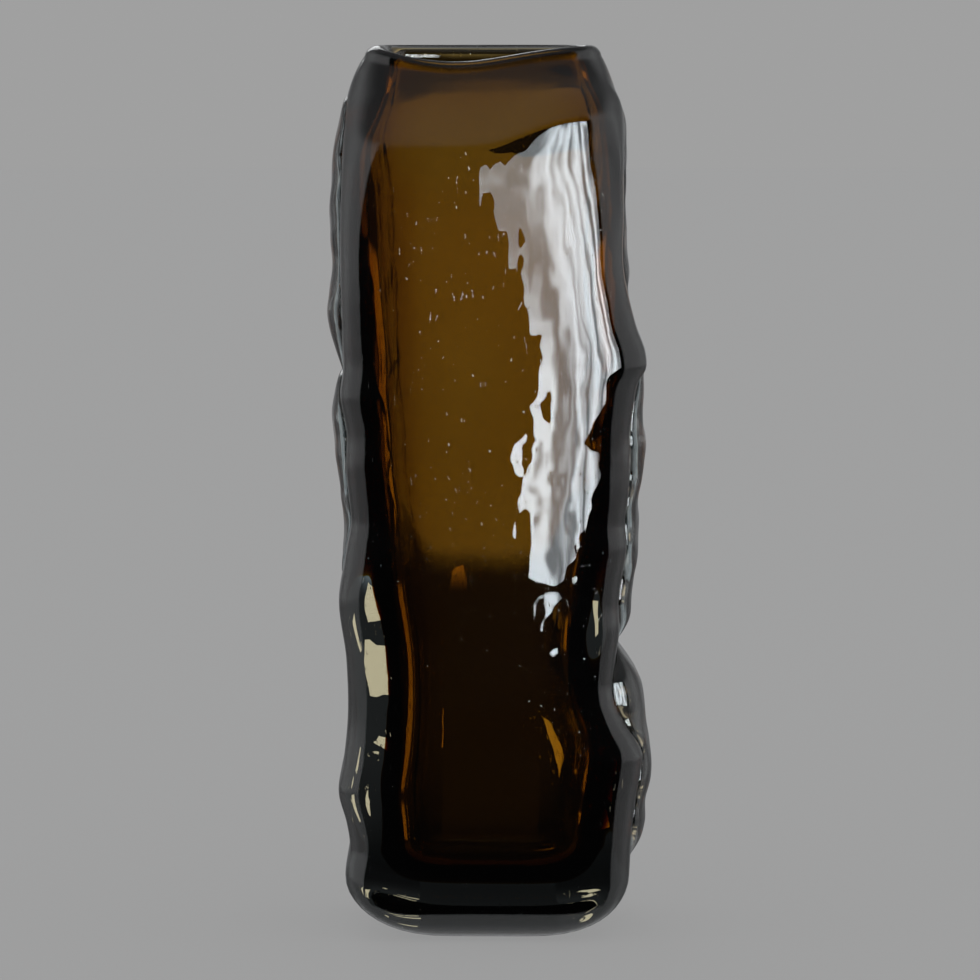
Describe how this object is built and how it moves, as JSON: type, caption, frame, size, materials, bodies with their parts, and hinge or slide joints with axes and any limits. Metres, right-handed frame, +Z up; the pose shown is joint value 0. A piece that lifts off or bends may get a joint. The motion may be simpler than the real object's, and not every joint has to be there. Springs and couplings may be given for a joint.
{
  "type": "blown glass vase",
  "caption": "Tall rectangular block vase in thick layered glass, with an amber hollow, wavy edges, rough narrow sides and a wide slot mouth.",
  "frame": {"origin": "middle of the vase's footprint, on the surface it stands on", "axes": "+Z up, the wide front face looks along -Y, +X to the right of someone who looks at the front"},
  "size_m": [0.0914, 0.0634, 0.25],
  "materials": {
    "amber_glass": "polished amber glass, darker where it is seen edge on",
    "smoke_glass": "fire polished, nearly clear smoke-grey glass",
    "clear_glass": "rippled rough-worked clear glass"
  },
  "bodies": {
    "root": {"amber_inner_layer": "amber_glass", "smoke_casing": "smoke_glass", "left_side_bit_upper": "clear_glass", "left_side_bit_lower": "clear_glass", "right_side_bit_upper": "clear_glass", "right_side_bit_middle": "clear_glass", "right_side_bit_lower": "clear_glass"}
  },
  "joints": []
}
